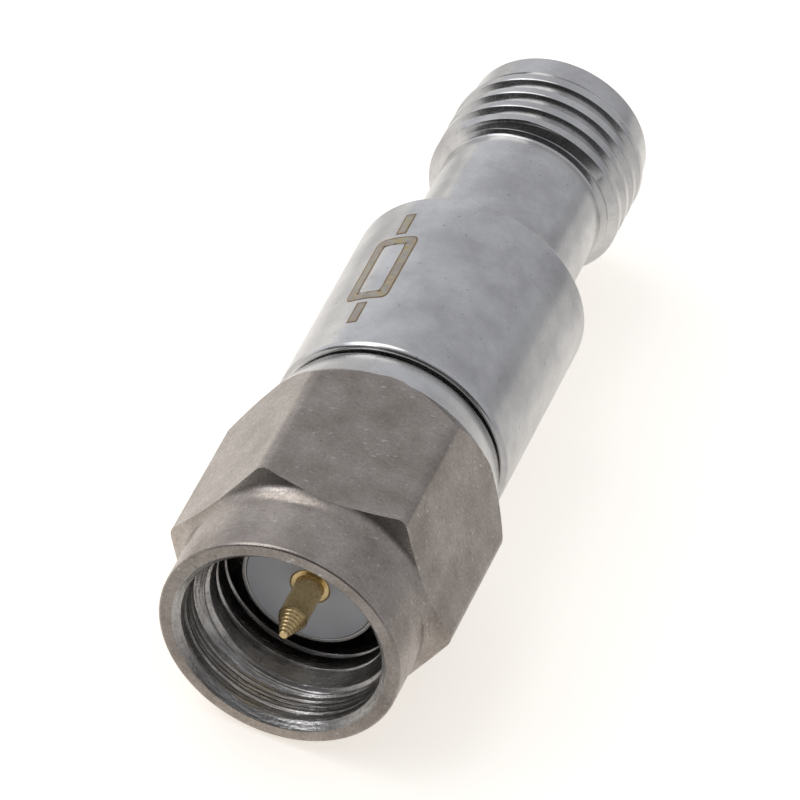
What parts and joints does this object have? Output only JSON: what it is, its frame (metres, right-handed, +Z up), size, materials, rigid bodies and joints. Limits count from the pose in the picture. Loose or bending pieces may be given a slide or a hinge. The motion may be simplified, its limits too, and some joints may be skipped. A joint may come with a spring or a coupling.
{
  "type": "rf attenuator",
  "caption": "Coaxial fixed attenuator with a plug and free-turning hexagon coupling nut at one end, a round body and a threaded jack at the other.",
  "frame": {"origin": "centre of the box's base: the nut's lower flat is at Z = 0, half-way along the part", "axes": "+Y along the common axis from the plug to the jack, +Z up from the nut's lower flat, X across the hexagon's corners"},
  "size_m": [0.009, 0.0256, 0.008],
  "materials": {
    "nut_steel": "satin, worn",
    "ring_bronze": "spring bronze",
    "gasket_rubber": "matt",
    "ferrule_steel": "turned",
    "plug_ptfe": "waxy white",
    "pin_gold": "gold plated",
    "housing_steel": "satin",
    "jack_ptfe": "waxy white",
    "contact_gold": "gold plated",
    "card_alumina": "matt",
    "upper_brass": "turned",
    "lower_brass": "turned"
  },
  "bodies": {
    "body": {"retaining_ring": "ring_bronze", "gasket": "gasket_rubber", "plug_ferrule": "ferrule_steel", "plug_insulator": "plug_ptfe", "plug_pin": "pin_gold", "housing": "housing_steel", "jack_insulator": "jack_ptfe", "jack_contact": "contact_gold", "attenuator_card": "card_alumina", "upper_carrier": "upper_brass", "lower_carrier": "lower_brass"},
    "nut": {"coupling_nut": "nut_steel"}
  },
  "joints": [
    {"name": "nut_spin", "type": "hinge", "parent": "body", "child": "nut", "pos_m": [0, -0.00805, 0.004], "axis": [0, 1, 0], "continuous": true}
  ]
}
